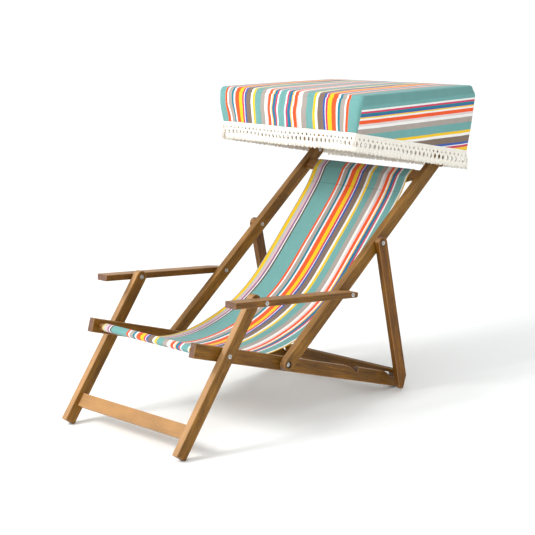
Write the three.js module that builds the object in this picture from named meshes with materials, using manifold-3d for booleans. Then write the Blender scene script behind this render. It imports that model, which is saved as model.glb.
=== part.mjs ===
// Folding deckchair with armrests, a striped canvas sling and a fringed box canopy.
// Millimetres, +Z up, -Y is the front, +X is the sitter's left.
// The feet and the heels of the seat rails stand on z = 0.
import * as THREE from 'three'
import { mergeVertices } from 'three/addons/utils/BufferGeometryUtils.js'
import Module from 'manifold-3d'

const wasm = await Module()
wasm.setup()

// ---- layers across the chair, as distances from the middle plane ----
const FIT_GAP = 0.4
const SEAT_RAIL_INNER = 240
const SEAT_RAIL_THICK = 24
const SEAT_RAIL_OUTER = SEAT_RAIL_INNER + SEAT_RAIL_THICK
const WASHER_THICK = 2
const UPRIGHT_INNER = SEAT_RAIL_OUTER + WASHER_THICK + 2 * FIT_GAP
const UPRIGHT_THICK = 24.6
const UPRIGHT_OUTER = UPRIGHT_INNER + UPRIGHT_THICK
const ARM_INNER = UPRIGHT_OUTER + FIT_GAP
const ARM_WIDTH = 48.6
const PROP_THICK = 20
const CANOPY_ARM_THICK = 16

// ---- timber heights, seen from the side ----
const SEAT_RAIL_DEPTH = 45
const LEG_DEPTH = 40
const BACK_RAIL_DEPTH = 40
const PROP_DEPTH = 40
const ARM_DEPTH = 20
const EDGE_BEVEL = 1.6

// ---- linkage: slopes in degrees and distances between pivots ----
const SEAT_SLOPE = -18.6
const BACK_SLOPE = 37.2
const PROP_SLOPE = -81.4
const LEG_TO_BACK_PIVOT = 253
const LEG_TO_ARM_PIVOT = 188.5
const ARM_PIVOT_SPAN = 368
const BACK_TO_ARM_PIVOT = 303.5
const BACK_TO_PROP_PIVOT = 524
const BACK_TO_CANOPY_PIVOT = 894
const LEG_PIVOT_HEIGHT = 277.2

// ---- ends of the timbers, measured from their pivots ----
const SEAT_RAIL_FRONT = -118
const SEAT_RAIL_REAR = 807
const SEAT_RAIL_REAR_CHAMFER = 16
const LEG_FOOT = -339
const ARM_FRONT = -494
const ARM_REAR = 24.5
const PROP_TIP = 509

// ---- prop frame, its rod and the notches in the seat rails ----
const ROD_RADIUS = 5
const ROD_ALONG = 766
const ROD_HEIGHT = 12.6
const NOTCH_SPACING = 175
const NOTCH_RAMP = 52
const NOTCH_FLAT = 8
const NOTCH_FLOOR = 7
const ROD_SOCKET_DEPTH = 12.5
const PROP_BOARD_THICK = 12.2
const PROP_BOARD_TOP = 441
const PROP_BOARD_BOTTOM_OVER_RAILS = 455
const PROP_BOARD_BOTTOM = 484
const PROP_BOARD_HALF_BETWEEN_RAILS = 238
const PROP_BOARD_REAR = -3.8

// ---- leg stretcher, measured from the leg pivot ----
const STRETCHER_TOP = -236.6
const STRETCHER_DEPTH = 44
const STRETCHER_FRONT = 5
const STRETCHER_THICK = 20

// ---- sling ----
const SLING_HALF_WIDTH = 220
const CLOTH = 1.6
const FRONT_BAR = { along: -85, height: 0.3, half: 0.5, radius: 10.5 }
const TOP_BAR = { along: 822, height: 0, half: 13.5, radius: 9 }
const SLING_SPLIT = 262
const FRONT_BAR_LEAVING_ANGLE = 58
const TOP_BAR_LEAVING_ANGLE = 144
const SLING_STEPS = 66

// ---- hardware ----
const BOLT_RADIUS = 4
const BOLT_HOLE = 4.4
const HEAD_RADIUS = 7.5
const HEAD_HEIGHT = 3.4
const LOW_HEAD_HEIGHT = 2.2
const WASHER_RADIUS = 11
const RECESS_RADIUS = 10.5
const RECESS_DEPTH = 5

// ---- canopy: corners of the side outline as [y, z] ----
const CANOPY_HALF_TOP = 338
const CANOPY_HALF_BOTTOM = 322
const CANOPY_FRONT_TOP = [557, 1001]
const CANOPY_REAR_TOP = [1090, 975]
const CANOPY_FRONT_BOTTOM = [541, 885]
const CANOPY_REAR_BOTTOM = [1050, 764]
const CANOPY_CORNER = 16
const CANOPY_CLOTH = 2
const CANOPY_SAG = 5
const CANOPY_RAIL_DEPTH = 22
const CANOPY_RAIL_THICK = 18
const CANOPY_RAIL_INSET = 14
const CANOPY_RAIL_BELOW_CLOTH = 4
const CANOPY_ARM_HALF = 17
const CANOPY_ARM_REACH = 0.52
const FRINGE_DEPTH = 54
const FRINGE_THICK = 3
const FRINGE_PITCH = 19

// ---- materials ----
const wood = (color) => new THREE.MeshStandardMaterial({ color, roughness: 0.55, metalness: 0 })
const zinc = () => new THREE.MeshStandardMaterial({ color: 0xb9bdc0, roughness: 0.3, metalness: 0.9 })
const canvas = (color) => new THREE.MeshStandardMaterial({ color, roughness: 0.9, metalness: 0 })

// ---- small geometry helpers ----
const rad = THREE.MathUtils.degToRad
const SIDE_VIEW = new THREE.Matrix4().makeBasis(
  new THREE.Vector3(0, 1, 0), new THREE.Vector3(0, 0, 1), new THREE.Vector3(1, 0, 0))

// The point that lies `along` and `across` a line of the given slope through a pivot.
const offset = ([y, z], slope, along, across = 0) => {
  const c = Math.cos(rad(slope))
  const s = Math.sin(rad(slope))
  return [y + along * c - across * s, z + along * s + across * c]
}

// Where two circles cross; the upper of the two crossings.
const circlesMeet = ([y0, z0], r0, [y1, z1], r1) => {
  const d = Math.hypot(y1 - y0, z1 - z0)
  const a = (r0 * r0 - r1 * r1 + d * d) / (2 * d)
  const h = Math.sqrt(r0 * r0 - a * a)
  const slope = THREE.MathUtils.radToDeg(Math.atan2(z1 - z0, y1 - y0))
  return offset([y0, z0], slope, a, h)
}

const slopeFrom = ([y0, z0], [y1, z1]) =>
  THREE.MathUtils.radToDeg(Math.atan2(z1 - z0, y1 - y0))

// Points of an arc about (cy, cz), degrees, both ends included.
const arc = (cy, cz, radius, from, to, steps) =>
  Array.from({ length: steps + 1 }, (_, i) => {
    const a = rad(from + (to - from) * i / steps)
    return [cy + radius * Math.cos(a), cz + radius * Math.sin(a)]
  })

// Keeps the part of an outline on the positive side of the line n . p + c = 0.
const clip = (points, ny, nz, c) => {
  const side = ([y, z]) => ny * y + nz * z + c
  const kept = []
  points.forEach((p, i) => {
    const q = points[(i + 1) % points.length]
    const sp = side(p)
    const sq = side(q)
    if (sp >= 0) kept.push(p)
    if (sp * sq < 0) {
      const t = sp / (sp - sq)
      kept.push([p[0] + t * (q[0] - p[0]), p[1] + t * (q[1] - p[1])])
    }
  })
  return kept
}

// Cuts an outline, given along a sloping timber, level with the floor.
const clipAtFloor = (points, slope, pivotHeight) =>
  clip(points, Math.sin(rad(slope)), Math.cos(rad(slope)), pivotHeight)

const circlePath = (y, z, radius, segments = 16) => {
  const turn = 180 / segments
  const points = arc(y, z, radius, turn, turn + 360, segments).slice(0, -1)
  return new THREE.Path(points.map(([a, b]) => new THREE.Vector2(a, b)))
}

// Extrudes a side outline across the chair, from x = 0 to x = thick.
const plate = (points, thick, { holes = [], bevel = EDGE_BEVEL } = {}) => {
  const shape = new THREE.Shape(points.map(([y, z]) => new THREE.Vector2(y, z)))
  holes.forEach(([y, z, radius]) => shape.holes.push(circlePath(y, z, radius)))
  const geometry = new THREE.ExtrudeGeometry(shape, {
    depth: thick - 2 * bevel,
    bevelEnabled: bevel > 0,
    bevelThickness: bevel,
    bevelSize: bevel,
    bevelOffset: -bevel,
    bevelSegments: 1
  })
  geometry.translate(0, 0, bevel)
  geometry.applyMatrix4(SIDE_VIEW)
  return geometry
}

const toManifold = (geometry) => {
  const bare = geometry.clone()
  bare.deleteAttribute('normal')
  bare.deleteAttribute('uv')
  const merged = mergeVertices(bare, 1e-4)
  return new wasm.Manifold(new wasm.Mesh({
    numProp: 3,
    vertProperties: new Float32Array(merged.attributes.position.array),
    triVerts: new Uint32Array(merged.index.array)
  }))
}

const fromManifold = (solid) => {
  const mesh = solid.getMesh()
  const geometry = new THREE.BufferGeometry()
  geometry.setAttribute('position', new THREE.BufferAttribute(mesh.vertProperties, 3))
  geometry.setIndex(new THREE.BufferAttribute(mesh.triVerts, 1))
  geometry.computeVertexNormals()
  return geometry
}

// Cuts a round blind hole from the face at x = faceX.
const blindHole = (geometry, [y, z], radius, faceX, depth) => {
  const cutter = new THREE.CylinderGeometry(radius, radius, depth * 2, 24)
  cutter.rotateZ(Math.PI / 2)
  cutter.translate(faceX, y, z)
  return fromManifold(toManifold(geometry).subtract(toManifold(cutter)))
}

const mesh = (name, geometry, material) => {
  const made = new THREE.Mesh(geometry, material)
  made.name = name
  return made
}

// A group whose local y runs along a timber of the given slope through a pivot.
const timberGroup = ([y, z], slope) => {
  const group = new THREE.Group()
  group.position.set(0, y, z)
  group.rotation.x = rad(slope)
  return group
}

// Adds one plate on each side of the chair, its inner face at `inner`.
const addPair = (group, name, geometry, inner, thick, material) => {
  const left = mesh(`${name}_left`, geometry, material())
  left.position.x = inner
  const right = mesh(`${name}_right`, geometry.clone(), material())
  right.position.x = -inner - thick
  group.add(left, right)
}

// ---- pivots in the side view ----
const legPivot = [0, LEG_PIVOT_HEIGHT]
const backPivot = offset(legPivot, SEAT_SLOPE, LEG_TO_BACK_PIVOT)
const armBackPivot = offset(backPivot, BACK_SLOPE, BACK_TO_ARM_PIVOT)
const armLegPivot = circlesMeet(legPivot, LEG_TO_ARM_PIVOT, armBackPivot, ARM_PIVOT_SPAN)
const propPivot = offset(backPivot, BACK_SLOPE, BACK_TO_PROP_PIVOT)
const canopyPivot = offset(backPivot, BACK_SLOPE, BACK_TO_CANOPY_PIVOT)
const LEG_SLOPE = slopeFrom(legPivot, armLegPivot)
const ARM_SLOPE = slopeFrom(armLegPivot, armBackPivot)

// ---- fasteners: a domed bolt through two boards and a low barrel nut on its far side ----
const turned = (profile, segments = 12) => {
  const geometry = new THREE.LatheGeometry(profile.map(([r, h]) => new THREE.Vector2(r, h)), segments)
  geometry.rotateZ(-Math.PI / 2)
  return geometry
}

// Domed head outside x = 0 and a shank reaching back to x = -length.
const boltGeometry = (length, height = HEAD_HEIGHT) => turned([
  [0, -length],
  [BOLT_RADIUS, -length],
  [BOLT_RADIUS, FIT_GAP / 2],
  [HEAD_RADIUS, FIT_GAP / 2],
  [HEAD_RADIUS * 0.92, height * 0.55],
  [HEAD_RADIUS * 0.55, height * 0.9],
  [0, height]
])

// Where the bolt ends and the shank of its barrel nut begins, outside the inner board's face.
const NUT_SHANK = 8

// One bolt from `outer` and one low-headed barrel nut from `inner` on each side.
const addPivotBolts = (group, name, [y, z], outer, inner) => {
  const shank = outer - inner - NUT_SHANK - FIT_GAP
  for (const [side, sign] of [['left', 1], ['right', -1]]) {
    const bolt = mesh(`${name}_bolt_${side}`, boltGeometry(shank), zinc())
    const nut = mesh(`${name}_nut_${side}`, boltGeometry(NUT_SHANK, LOW_HEAD_HEIGHT), zinc())
    bolt.position.set(sign * outer, y, z)
    nut.position.set(sign * inner, y, z)
    bolt.rotation.z = sign > 0 ? 0 : Math.PI
    nut.rotation.z = sign > 0 ? Math.PI : 0
    group.add(bolt, nut)
  }
}

// A flat washer between seat rail and upright on each side.
const addWashers = (group, name) => {
  for (const [side, sign] of [['left', 1], ['right', -1]]) {
    const washer = mesh(`${name}_washer_${side}`, turned([
      [BOLT_HOLE, 0],
      [WASHER_RADIUS, 0],
      [WASHER_RADIUS, WASHER_THICK],
      [BOLT_HOLE, WASHER_THICK],
      [BOLT_HOLE, 0]
    ], 16), zinc())
    washer.position.x = sign > 0 ? SEAT_RAIL_OUTER + FIT_GAP : -SEAT_RAIL_OUTER - FIT_GAP - WASHER_THICK
    group.add(washer)
  }
}

// ---- seat frame ----
// One notch: a long ramp down towards the rear and a square wall that stops the rod.
const notchPoints = (wallAt) => [
  [wallAt - NOTCH_RAMP, SEAT_RAIL_DEPTH / 2],
  [wallAt - NOTCH_RAMP * 0.72, SEAT_RAIL_DEPTH / 2 - 2.6],
  [wallAt - NOTCH_FLAT - 4, NOTCH_FLOOR + 1],
  [wallAt - NOTCH_FLAT, NOTCH_FLOOR],
  [wallAt, NOTCH_FLOOR],
  [wallAt, SEAT_RAIL_DEPTH / 2]
]

const seatRailOutline = () => {
  const half = SEAT_RAIL_DEPTH / 2
  const wall = ROD_ALONG + ROD_RADIUS + FIT_GAP
  const outline = [
    [SEAT_RAIL_FRONT, -half],
    [SEAT_RAIL_REAR, -half],
    [SEAT_RAIL_REAR, half - SEAT_RAIL_REAR_CHAMFER],
    [SEAT_RAIL_REAR - SEAT_RAIL_REAR_CHAMFER, half],
    ...notchPoints(wall).reverse(),
    ...notchPoints(wall - NOTCH_SPACING).reverse(),
    [SEAT_RAIL_FRONT, half]
  ]
  return clipAtFloor(outline, SEAT_SLOPE, LEG_PIVOT_HEIGHT)
}

// A round-edged bar across the chair: a stadium section, upright along local z.
const stadium = (along, height, half, radius, steps = 8) => [
  ...arc(along, height + half, radius, 0, 180, steps),
  ...arc(along, height - half, radius, 180, 360, steps)
]

const seatFrame = () => {
  const group = timberGroup(legPivot, SEAT_SLOPE)
  const rail = plate(seatRailOutline(), SEAT_RAIL_THICK, {
    holes: [[0, 0, BOLT_HOLE], [LEG_TO_BACK_PIVOT, 0, BOLT_HOLE]]
  })
  addPair(group, 'seat_rail', rail, SEAT_RAIL_INNER, SEAT_RAIL_THICK, () => wood(0x8a6234))
  const { along, height, half, radius } = FRONT_BAR
  const length = 2 * (SEAT_RAIL_INNER - FIT_GAP)
  const bar = mesh('front_sling_bar',
    plate(stadium(along, height, half, radius), length, { bevel: 0 }), wood(0x8f6638))
  bar.position.x = -length / 2
  group.add(bar)
  return group
}

// ---- legs and their stretcher ----
const legs = () => {
  const group = timberGroup(legPivot, LEG_SLOPE)
  const half = LEG_DEPTH / 2
  const outline = clipAtFloor([
    [LEG_FOOT, -half],
    ...arc(LEG_TO_ARM_PIVOT, 0, half, -90, 90, 8),
    [LEG_FOOT, half]
  ], LEG_SLOPE, LEG_PIVOT_HEIGHT)
  const leg = plate(outline, UPRIGHT_THICK, {
    holes: [[0, 0, BOLT_HOLE], [LEG_TO_ARM_PIVOT, 0, BOLT_HOLE]]
  })
  addPair(group, 'leg', leg, UPRIGHT_INNER, UPRIGHT_THICK, () => wood(0x99703d))
  const length = 2 * (UPRIGHT_INNER - FIT_GAP)
  const stretcher = mesh('leg_stretcher', plate([
    [STRETCHER_TOP - STRETCHER_DEPTH, STRETCHER_FRONT - STRETCHER_THICK],
    [STRETCHER_TOP, STRETCHER_FRONT - STRETCHER_THICK],
    [STRETCHER_TOP, STRETCHER_FRONT],
    [STRETCHER_TOP - STRETCHER_DEPTH, STRETCHER_FRONT]
  ], length), wood(0xc79a63))
  stretcher.position.x = -length / 2
  group.add(stretcher)
  addPivotBolts(group, 'leg_pivot', [0, 0], UPRIGHT_OUTER, SEAT_RAIL_INNER)
  addWashers(group, 'leg_pivot')
  return group
}

// ---- back frame ----
const backRail = () => {
  const half = BACK_RAIL_DEPTH / 2
  const outline = [
    ...arc(BACK_TO_CANOPY_PIVOT, 0, half, -90, 90, 8),
    ...arc(0, 0, half, 90, 270, 8)
  ]
  return plate(outline, UPRIGHT_THICK, {
    holes: [
      [0, 0, BOLT_HOLE],
      [BACK_TO_ARM_PIVOT, 0, BOLT_HOLE],
      [BACK_TO_PROP_PIVOT, 0, BOLT_HOLE],
      [BACK_TO_CANOPY_PIVOT, 0, BOLT_HOLE]
    ]
  })
}

// The round recess that sinks the head of the hinge bolt in the back rail.
const sinkRecess = (geometry, faceX) =>
  blindHole(geometry, [0, 0], RECESS_RADIUS, faceX, RECESS_DEPTH)

const backFrame = () => {
  const group = timberGroup(backPivot, BACK_SLOPE)
  const left = mesh('back_rail_left', sinkRecess(backRail(), UPRIGHT_THICK), wood(0x87602f))
  left.position.x = UPRIGHT_INNER
  const right = mesh('back_rail_right', sinkRecess(backRail(), 0), wood(0x87602f))
  right.position.x = -UPRIGHT_OUTER
  const { along, height, half, radius } = TOP_BAR
  const length = 2 * (UPRIGHT_INNER - FIT_GAP)
  const section = stadium(0, 0, half, radius).map(([y, z]) => [along + z, height - y])
  const bar = mesh('top_sling_bar', plate(section, length, { bevel: 0 }), wood(0x8f6638))
  bar.position.x = -length / 2
  group.add(left, right, bar)
  addPivotBolts(group, 'back_hinge', [0, 0], UPRIGHT_OUTER - RECESS_DEPTH, SEAT_RAIL_INNER)
  addWashers(group, 'back_hinge')
  return group
}

// ---- armrests ----
const arms = () => {
  const group = timberGroup(armBackPivot, ARM_SLOPE)
  const half = ARM_DEPTH / 2
  const outline = [
    [ARM_FRONT, -half],
    [ARM_REAR - 4, -half],
    [ARM_REAR, -half + 4],
    [ARM_REAR, half - 5],
    [ARM_REAR - 4, half - 2.6],
    [-26, half],
    [ARM_FRONT, half]
  ]
  const arm = plate(outline, ARM_WIDTH, {
    holes: [[0, 0, BOLT_HOLE], [-ARM_PIVOT_SPAN, 0, BOLT_HOLE]]
  })
  addPair(group, 'arm', arm, ARM_INNER, ARM_WIDTH, () => wood(0x936a38))
  addPivotBolts(group, 'arm_back', [0, 0], ARM_INNER + ARM_WIDTH, UPRIGHT_INNER)
  return group
}

// The bolts between armrest and leg are in two halves, so that the closed linkage can open here:
// the outer half turns with the armrest and the inner half stays in the leg.
const armLegBolts = () => {
  const outer = timberGroup(armLegPivot, ARM_SLOPE)
  const inner = timberGroup(armLegPivot, LEG_SLOPE)
  for (const [side, sign] of [['left', 1], ['right', -1]]) {
    const bolt = mesh(`arm_leg_bolt_${side}`, boltGeometry(ARM_WIDTH), zinc())
    bolt.position.x = sign * (ARM_INNER + ARM_WIDTH)
    const stub = mesh(`arm_leg_stub_${side}`, boltGeometry(UPRIGHT_THICK - FIT_GAP, LOW_HEAD_HEIGHT), zinc())
    stub.position.x = sign * UPRIGHT_INNER
    if (sign > 0) stub.rotation.z = Math.PI
    if (sign < 0) bolt.rotation.z = Math.PI
    outer.add(bolt)
    inner.add(stub)
  }
  return [outer, inner]
}

// ---- prop frame: two props, a board across them and the rod that sits in the notches ----
// A point given along and above the seat rail, in the prop's own along and across.
const seatToProp = (along, height) => {
  const [y, z] = offset(legPivot, SEAT_SLOPE, along, height)
  return offset([0, 0], -PROP_SLOPE, y - propPivot[0], z - propPivot[1])
}

// The board reaches down between the seat rails and is cut back where it crosses them.
const propBoard = () => {
  const half = ARM_INNER - FIT_GAP
  const between = PROP_BOARD_HALF_BETWEEN_RAILS
  const geometry = plate([
    [PROP_BOARD_TOP, -half],
    [PROP_BOARD_BOTTOM_OVER_RAILS, -half],
    [PROP_BOARD_BOTTOM_OVER_RAILS, -between],
    [PROP_BOARD_BOTTOM, -between],
    [PROP_BOARD_BOTTOM, between],
    [PROP_BOARD_BOTTOM_OVER_RAILS, between],
    [PROP_BOARD_BOTTOM_OVER_RAILS, half],
    [PROP_BOARD_TOP, half]
  ], PROP_BOARD_THICK)
  geometry.rotateY(Math.PI / 2)
  return geometry.translate(0, 0, PROP_BOARD_REAR)
}

const propFrame = () => {
  const group = timberGroup(propPivot, PROP_SLOPE)
  const half = PROP_DEPTH / 2
  const rod = seatToProp(ROD_ALONG, ROD_HEIGHT)
  const outline = [
    ...arc(0, 0, half, 90, 270, 8),
    [PROP_TIP - 14, -half],
    [PROP_TIP, -half + 8],
    [PROP_TIP, -2],
    [PROP_TIP - 38, half]
  ]
  const prop = plate(outline, PROP_THICK, { holes: [[0, 0, BOLT_HOLE]] })
  const socket = (faceX) => blindHole(prop, rod, ROD_RADIUS + FIT_GAP, faceX, ROD_SOCKET_DEPTH)
  const left = mesh('prop_left', socket(0), wood(0x8c652f))
  left.position.x = ARM_INNER
  const right = mesh('prop_right', socket(PROP_THICK), wood(0x8c652f))
  right.position.x = -ARM_INNER - PROP_THICK

  const rodLength = 2 * (ARM_INNER + ROD_SOCKET_DEPTH - FIT_GAP)
  const steelRod = mesh('prop_rod', new THREE.CylinderGeometry(
    ROD_RADIUS, ROD_RADIUS, rodLength, 20).rotateZ(Math.PI / 2), zinc())
  steelRod.position.set(0, ...rod)
  group.add(left, right, mesh('prop_cross_board', propBoard(), wood(0x6f4c22)), steelRod)
  addPivotBolts(group, 'prop_pivot', [0, 0], ARM_INNER + PROP_THICK, UPRIGHT_INNER)
  return group
}

// ---- sling: one canvas in two panels that meet where the seat turns into the back ----
const barPoint = (pivot, slope, bar) => offset(pivot, slope, bar.along, bar.height)

// Where the canvas leaves a bar, at a world angle about the centre of the bar's round end.
const leavesBar = ([y, z], degrees) => {
  const r = FRONT_BAR.radius + FIT_GAP + CLOTH / 2
  return [y + r * Math.cos(rad(degrees)), z + r * Math.sin(rad(degrees))]
}

const slingCurve = () => {
  const frontTop = offset(legPivot, SEAT_SLOPE, FRONT_BAR.along, FRONT_BAR.height + FRONT_BAR.half)
  const topLower = offset(backPivot, BACK_SLOPE, TOP_BAR.along - TOP_BAR.half, 0)
  const points = [
    leavesBar(frontTop, FRONT_BAR_LEAVING_ANGLE),
    [-20, 289],
    [50, 254],
    [120, 233],
    [190, 225],
    [262, 229],
    [327, 241],
    [432, 276],
    [547, 342],
    [700, 488],
    [838, 636],
    leavesBar(topLower, TOP_BAR_LEAVING_ANGLE)
  ]
  return new THREE.CatmullRomCurve3(points.map(([y, z]) => new THREE.Vector3(y, z, 0)), false, 'centripetal')
}

// The point of a run, ordered from front to rear, that has the given y.
const pointAt = (run, y) => {
  const i = run.findIndex((p) => p[0] > y)
  const [a, b] = [run[i - 1], run[i]]
  const t = (y - a[0]) / (b[0] - a[0])
  return [y, a[1] + t * (b[1] - a[1])]
}

// The side outline of a sheet that follows a run of points.
const sheetOutline = (points) => {
  const edge = (sign) => points.map((p, i) => {
    const a = points[Math.max(i - 1, 0)]
    const b = points[Math.min(i + 1, points.length - 1)]
    const length = Math.hypot(b[0] - a[0], b[1] - a[1])
    return [
      p[0] - sign * CLOTH / 2 * (b[1] - a[1]) / length,
      p[1] + sign * CLOTH / 2 * (b[0] - a[0]) / length
    ]
  })
  return [...edge(-1), ...edge(1).reverse()]
}

// The sleeve that is sewn round a bar, as a closed band.
const sleeve = (pivot, slope, bar, upright) => {
  const ring = (radius) => stadium(0, 0, bar.half, radius, 10)
    .map(([a, b]) => upright ? [a, b] : [b, -a])
    .map(([a, b]) => offset(barPoint(pivot, slope, bar), slope, a, b))
  const shape = new THREE.Shape(ring(bar.radius + FIT_GAP + CLOTH).map((p) => new THREE.Vector2(...p)))
  const hole = new THREE.Path(ring(bar.radius + FIT_GAP).map((p) => new THREE.Vector2(...p)))
  shape.holes.push(hole)
  return new THREE.ExtrudeGeometry(shape, { depth: 2 * SLING_HALF_WIDTH, bevelEnabled: false })
    .applyMatrix4(SIDE_VIEW)
}

const sling = () => {
  const group = new THREE.Group()
  const curve = slingCurve().getPoints(SLING_STEPS).map((p) => [p.x, p.y])
  const seatRun = [...curve.filter(([y]) => y < SLING_SPLIT), pointAt(curve, SLING_SPLIT)]
  const backEdge = SLING_SPLIT + FIT_GAP
  const backRun = [pointAt(curve, backEdge), ...curve.filter(([y]) => y > backEdge + CLOTH)]
  const panels = [
    ['sling_seat', seatRun, sleeve(legPivot, SEAT_SLOPE, FRONT_BAR, true)],
    ['sling_back', backRun, sleeve(backPivot, BACK_SLOPE, TOP_BAR, false)]
  ]
  for (const [name, run, band] of panels) {
    const sheet = plate(sheetOutline(run), 2 * SLING_HALF_WIDTH, { bevel: 0 })
    const panel = mesh(name, fromManifold(toManifold(sheet).add(toManifold(band))), canvas(0x76bab8))
    panel.position.x = -SLING_HALF_WIDTH
    group.add(panel)
  }
  return group
}

// ---- canopy ----
const lerp = THREE.MathUtils.lerp
const lerpPoint = (a, b, t) => [lerp(a[0], b[0], t), lerp(a[1], b[1], t)]

// A closed ring of points round the canopy, `down` of the way from its top to its lower edge,
// drawn in by `inset`. Its corners are round.
const canopyRing = (down, inset, drop = 0) => {
  const front = lerpPoint(CANOPY_FRONT_TOP, CANOPY_FRONT_BOTTOM, down)
  const rear = lerpPoint(CANOPY_REAR_TOP, CANOPY_REAR_BOTTOM, down)
  const halfX = lerp(CANOPY_HALF_TOP, CANOPY_HALF_BOTTOM, down) - inset
  const y0 = front[0] + inset
  const y1 = rear[0] - inset
  const radius = Math.max(CANOPY_CORNER - inset, 2)
  const corners = [
    [halfX - radius, y1 - radius, 0],
    [-halfX + radius, y1 - radius, 90],
    [-halfX + radius, y0 + radius, 180],
    [halfX - radius, y0 + radius, 270]
  ]
  const heightAt = (y) => lerp(front[1], rear[1], (y - front[0]) / (rear[0] - front[0])) - drop
  return corners.flatMap(([cx, cy, from]) =>
    arc(cx, cy, radius, from, from + 90, 5).map(([x, y]) => [x, y, heightAt(y)]))
}

// Skins a stack of rings and closes both ends with a fan about their middles.
const skin = (rings, firstMiddle, lastMiddle) => {
  const count = rings[0].length
  const positions = rings.flat(2)
  const index = []
  for (let r = 0; r < rings.length - 1; r++) {
    for (let i = 0; i < count; i++) {
      const j = (i + 1) % count
      const a = r * count + i
      const b = r * count + j
      index.push(a, a + count, b, b, a + count, b + count)
    }
  }
  const first = positions.length / 3
  positions.push(...firstMiddle, ...lastMiddle)
  const lastRing = (rings.length - 1) * count
  for (let i = 0; i < count; i++) {
    const j = (i + 1) % count
    index.push(first, i, j, first + 1, lastRing + j, lastRing + i)
  }
  const geometry = new THREE.BufferGeometry()
  geometry.setAttribute('position', new THREE.Float32BufferAttribute(positions, 3))
  geometry.setIndex(index)
  geometry.computeVertexNormals()
  return geometry
}

// The open-bottomed cloth box: down the outside, then back up the inside.
const canopyCover = () => {
  const soft = CANOPY_CORNER * 0.7
  const edge = [0, 30, 60, 90].map((a) => ({
    inset: soft * (1 - Math.sin(rad(a))),
    drop: soft * (1 - Math.cos(rad(a)))
  }))
  const outerTop = edge.map(({ inset, drop }) => canopyRing(0, inset, drop))
  const outerSides = [0.4, 0.7, 1].map((down) => canopyRing(down, 0))
  const innerSides = [1, 0.7, 0.4].map((down) => canopyRing(down, CANOPY_CLOTH))
  const innerTop = edge.slice().reverse().map(({ inset, drop }) =>
    canopyRing(0, inset + CANOPY_CLOTH, drop + CANOPY_CLOTH))
  const middle = lerpPoint(CANOPY_FRONT_TOP, CANOPY_REAR_TOP, 0.5)
  return skin([...outerTop, ...outerSides, ...innerSides, ...innerTop],
    [0, middle[0], middle[1] - CANOPY_SAG],
    [0, middle[0], middle[1] - CANOPY_SAG - CANOPY_CLOTH])
}

// A flat strip with a scalloped lower edge; local x runs along it and it hangs down local y.
const fringeStrip = (length, depth) => {
  const count = Math.round(length / FRINGE_PITCH)
  const pitch = length / count
  const shape = new THREE.Shape()
  shape.moveTo(-length / 2, 0)
  for (let i = 0; i < count; i++) {
    const x = -length / 2 + i * pitch
    shape.lineTo(x, -depth + 0.3 * pitch)
    shape.lineTo(x + 0.28 * pitch, -depth)
    shape.lineTo(x + 0.72 * pitch, -depth)
  }
  shape.lineTo(length / 2, -depth + 0.3 * pitch)
  shape.lineTo(length / 2, 0)
  const geometry = new THREE.ExtrudeGeometry(shape, { depth: FRINGE_THICK, bevelEnabled: false })
  return geometry.translate(0, 0, -FRINGE_THICK / 2)
}

// The fringe hangs just under the lower edge of the cloth, one strip on each side.
const canopyFringe = () => {
  const group = new THREE.Group()
  const white = () => canvas(0xf3f0e8)
  const corner = CANOPY_CORNER
  const [y0, z0] = CANOPY_FRONT_BOTTOM
  const [y1, z1] = CANOPY_REAR_BOTTOM
  const inward = CANOPY_CLOTH / 2 + 0.6
  const across = 2 * (CANOPY_HALF_BOTTOM - corner / 2)
  const front = mesh('canopy_fringe_front', fringeStrip(across, FRINGE_DEPTH), white())
  front.rotation.x = Math.PI / 2
  front.position.set(0, y0 + inward, z0 - 3 * FIT_GAP)
  const rear = mesh('canopy_fringe_rear', fringeStrip(across, FRINGE_DEPTH), white())
  rear.rotation.x = Math.PI / 2
  rear.position.set(0, y1 - inward, z1 - FIT_GAP)
  group.add(front, rear)
  const slope = Math.atan2(z1 - z0, y1 - y0)
  const along = Math.hypot(y1 - y0, z1 - z0) - corner
  for (const [side, sign] of [['left', 1], ['right', -1]]) {
    const strip = mesh(`canopy_fringe_${side}`, fringeStrip(along, FRINGE_DEPTH), white())
    const holder = new THREE.Group()
    holder.position.set(sign * (CANOPY_HALF_BOTTOM - inward), (y0 + y1) / 2, (z0 + z1) / 2 - FIT_GAP - 1)
    holder.rotation.x = slope
    strip.rotation.set(Math.PI / 2, Math.PI / 2, 0)
    holder.add(strip)
    group.add(holder)
  }
  return group
}

const canopyFrame = () => {
  const group = new THREE.Group()
  const railDepth = CANOPY_RAIL_DEPTH
  const railThick = CANOPY_RAIL_THICK
  const below = CANOPY_RAIL_BELOW_CLOTH
  const topAt = (y) => lerp(CANOPY_FRONT_TOP[1], CANOPY_REAR_TOP[1],
    (y - CANOPY_FRONT_TOP[0]) / (CANOPY_REAR_TOP[0] - CANOPY_FRONT_TOP[0])) - below - CANOPY_CLOTH
  const armOuter = ARM_INNER + CANOPY_ARM_THICK
  const front = CANOPY_FRONT_TOP[0] + CANOPY_RAIL_INSET
  const rear = CANOPY_REAR_TOP[0] - CANOPY_RAIL_INSET
  const side = plate([
    [front, topAt(front) - railDepth],
    [rear, topAt(rear) - railDepth],
    [rear, topAt(rear)],
    [front, topAt(front)]
  ], railThick)
  addPair(group, 'canopy_side_rail', side, armOuter + FIT_GAP, railThick, () => wood(0x8f6638))
  const crossLength = 2 * armOuter
  for (const [name, y] of [['front', front], ['rear', rear - railThick]]) {
    const cross = mesh(`canopy_${name}_rail`, plate([
      [y, topAt(y) - railDepth],
      [y + railThick, topAt(y + railThick) - railDepth],
      [y + railThick, topAt(y + railThick)],
      [y, topAt(y)]
    ], crossLength), wood(0x8f6638))
    cross.position.x = -crossLength / 2
    group.add(cross)
  }
  return group
}

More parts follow.
